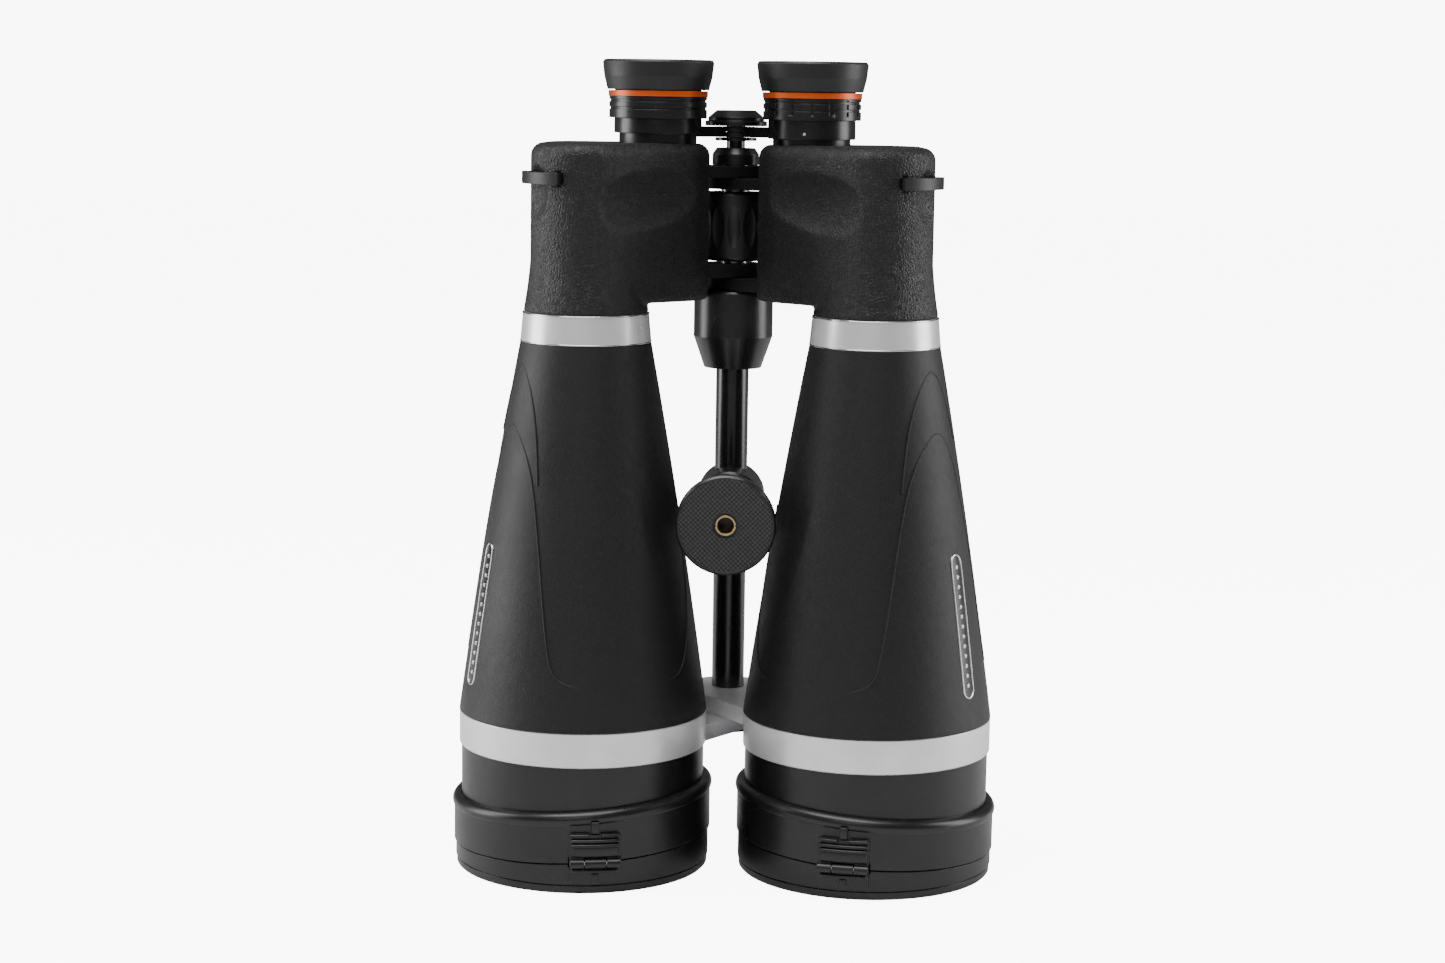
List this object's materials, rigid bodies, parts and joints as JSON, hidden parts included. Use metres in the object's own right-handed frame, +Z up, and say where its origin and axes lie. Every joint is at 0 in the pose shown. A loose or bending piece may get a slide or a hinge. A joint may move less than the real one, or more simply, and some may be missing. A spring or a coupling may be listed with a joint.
{
  "type": "astronomy binoculars",
  "caption": "Large-aperture Porro-prism binoculars with central focus, folding hinge, hinged objective lids and a sliding tripod adapter on the centre rod.",
  "frame": {"origin": "on the standing face, under the middle of the whole width and depth", "axes": "+Z up along the optical axes, +X across the barrels to the dioptre side, -Y towards the tripod socket and thumb rests"},
  "size_m": [0.212, 0.121, 0.3112],
  "materials": {
    "black_casting": "black casting",
    "grained_rubber": "leather-grained black rubber",
    "prism_glass": "clear prism glass",
    "satin_silver": "satin silver",
    "black_barrel": "satin black",
    "smooth_rubber": "fine matt black rubber",
    "badge_metal": "dark plate with a bright rim",
    "coated_glass": "green-coated lens glass",
    "cap_plastic": "satin black plastic",
    "steel": "turned steel",
    "black_metal": "black anodised",
    "orange_ring": "orange-red",
    "inner_plastic": "plain black",
    "eyecup_rubber": "soft matt black rubber",
    "rod_black": "semi-gloss black",
    "wheel_rubber": "ribbed black rubber",
    "pad_rubber": "woven-pattern rubber",
    "brass": "turned brass"
  },
  "bodies": {
    "root": {"hinge_spindle": "steel", "top_collar": "black_metal", "cone_collar": "black_metal", "support_rod": "rod_black", "foot_screw": "black_metal"},
    "left_half": {"left_prism_housing": "black_casting", "left_housing_armour": "grained_rubber", "left_prism_shelf": "black_casting", "left_prisms": "prism_glass", "left_upper_ring": "satin_silver", "left_objective_barrel": "black_barrel", "left_barrel_armour": "smooth_rubber", "left_badge": "badge_metal", "left_lower_ring": "satin_silver", "left_objective_cell": "black_barrel", "left_crown_lens": "coated_glass", "left_flint_lens": "coated_glass", "left_cap_band": "cap_plastic", "left_cap_pin": "steel"},
    "left_lid": {"left_cap_lid": "cap_plastic"},
    "left_eyecup_carrier": {"left_eyecup_guide": "inner_plastic"},
    "left_eyecup_cup": {"left_eyecup": "eyecup_rubber"},
    "left_eyepiece": {"left_eyepiece_tube": "black_metal", "left_grip_ring": "black_metal", "left_accent_ring": "orange_ring", "left_ocular_cell": "black_metal", "left_field_lens": "coated_glass", "left_eye_lens": "coated_glass"},
    "right_half": {"right_prism_housing": "black_casting", "right_housing_armour": "grained_rubber", "right_prism_shelf": "black_casting", "right_prisms": "prism_glass", "right_upper_ring": "satin_silver", "right_objective_barrel": "black_barrel", "right_barrel_armour": "smooth_rubber", "right_badge": "badge_metal", "right_lower_ring": "satin_silver", "right_objective_cell": "black_barrel", "right_crown_lens": "coated_glass", "right_flint_lens": "coated_glass", "right_cap_band": "cap_plastic", "right_cap_pin": "steel"},
    "right_lid": {"right_cap_lid": "cap_plastic"},
    "right_eyecup_carrier": {"right_eyecup_guide": "inner_plastic"},
    "right_eyecup_cup": {"right_eyecup": "eyecup_rubber"},
    "right_eyepiece": {"right_eyepiece_tube": "black_metal"},
    "right_dioptre": {"right_dioptre_ring": "black_metal", "right_accent_ring": "orange_ring"},
    "right_ocular": {"right_ocular_cell": "black_metal", "right_field_lens": "coated_glass", "right_eye_lens": "coated_glass"},
    "focus_wheel_body": {"focus_wheel": "wheel_rubber"},
    "focus_bridge": {"focus_shaft": "rod_black", "drive_pin": "steel", "bridge_cap": "cap_plastic"},
    "tripod_adapter": {"adapter_clamp": "black_metal", "adapter_disc": "black_metal", "adapter_pad": "pad_rubber", "adapter_insert": "brass"},
    "lock_knob": {"adapter_knob": "cap_plastic"}
  },
  "joints": [
    {"name": "left_fold", "type": "hinge", "parent": "root", "child": "left_half", "pos_m": [0, 0.03593, 0.15], "axis": [0, 0, -1], "range_deg": [-4.5, 26]},
    {"name": "right_fold", "type": "hinge", "parent": "root", "child": "right_half", "pos_m": [0, 0.03593, 0.15], "axis": [0, 0, 1], "range_deg": [-4.5, 26]},
    {"name": "focus_turn", "type": "hinge", "parent": "root", "child": "focus_wheel_body", "pos_m": [0, 0.03593, 0.15], "axis": [0, 0, 1], "range_deg": [-98, 433]},
    {"name": "bridge_slide", "type": "slide", "parent": "root", "child": "focus_bridge", "axis": [0, 0, 1], "range_m": [-0.0018, 0.008]},
    {"name": "left_focus_slide", "type": "slide", "parent": "left_half", "child": "left_eyepiece", "axis": [0, 0, 1], "range_m": [-0.0018, 0.008]},
    {"name": "left_eyecup_rise", "type": "slide", "parent": "left_eyepiece", "child": "left_eyecup_carrier", "axis": [0, 0, 1], "range_m": [0, 0.0065]},
    {"name": "left_eyecup_twist", "type": "hinge", "parent": "left_eyecup_carrier", "child": "left_eyecup_cup", "pos_m": [-0.0297, 0.01493, 0.29], "axis": [0, 0, 1], "range_deg": [0, 270]},
    {"name": "left_lid_swing", "type": "hinge", "parent": "left_half", "child": "left_lid", "pos_m": [-0.0463, -0.05709, 0.0126], "axis": [-0.9848, -0.1736, 0], "range_deg": [0, 180]},
    {"name": "right_focus_slide", "type": "slide", "parent": "right_half", "child": "right_eyepiece", "axis": [0, 0, 1], "range_m": [-0.0018, 0.008]},
    {"name": "right_eyecup_rise", "type": "slide", "parent": "right_eyepiece", "child": "right_eyecup_carrier", "axis": [0, 0, 1], "range_m": [0, 0.0065]},
    {"name": "right_eyecup_twist", "type": "hinge", "parent": "right_eyecup_carrier", "child": "right_eyecup_cup", "pos_m": [0.0297, 0.01493, 0.29], "axis": [0, 0, 1], "range_deg": [0, 270]},
    {"name": "right_lid_swing", "type": "hinge", "parent": "right_half", "child": "right_lid", "pos_m": [0.0463, -0.05709, 0.0126], "axis": [-0.9848, 0.1736, 0], "range_deg": [0, 180]},
    {"name": "dioptre_turn", "type": "hinge", "parent": "right_eyepiece", "child": "right_dioptre", "pos_m": [0.0297, 0.01493, 0.29], "axis": [0, 0, 1], "range_deg": [-60, 60]},
    {"name": "dioptre_lift", "type": "slide", "parent": "right_eyepiece", "child": "right_ocular", "axis": [0, 0, 1], "range_m": [-0.0012, 0.0012]},
    {"name": "adapter_slide", "type": "slide", "parent": "root", "child": "tripod_adapter", "axis": [0, 0, 1], "range_m": [0, 0.035]},
    {"name": "knob_turn", "type": "hinge", "parent": "tripod_adapter", "child": "lock_knob", "pos_m": [0, 0.04793, 0.138], "axis": [0, 1, 0], "range_deg": [0, 360]}
  ],
  "couplings": [
    {"joint": "focus_turn", "follows": "bridge_slide", "rad_per_m": 942.48},
    {"joint": "left_focus_slide", "follows": "bridge_slide", "ratio": 1},
    {"joint": "right_focus_slide", "follows": "bridge_slide", "ratio": 1},
    {"joint": "left_eyecup_rise", "follows": "left_eyecup_twist", "m_per_rad": 0.0013793},
    {"joint": "right_eyecup_rise", "follows": "right_eyecup_twist", "m_per_rad": 0.0013793},
    {"joint": "dioptre_lift", "follows": "dioptre_turn", "m_per_rad": 0.0011459}
  ]
}
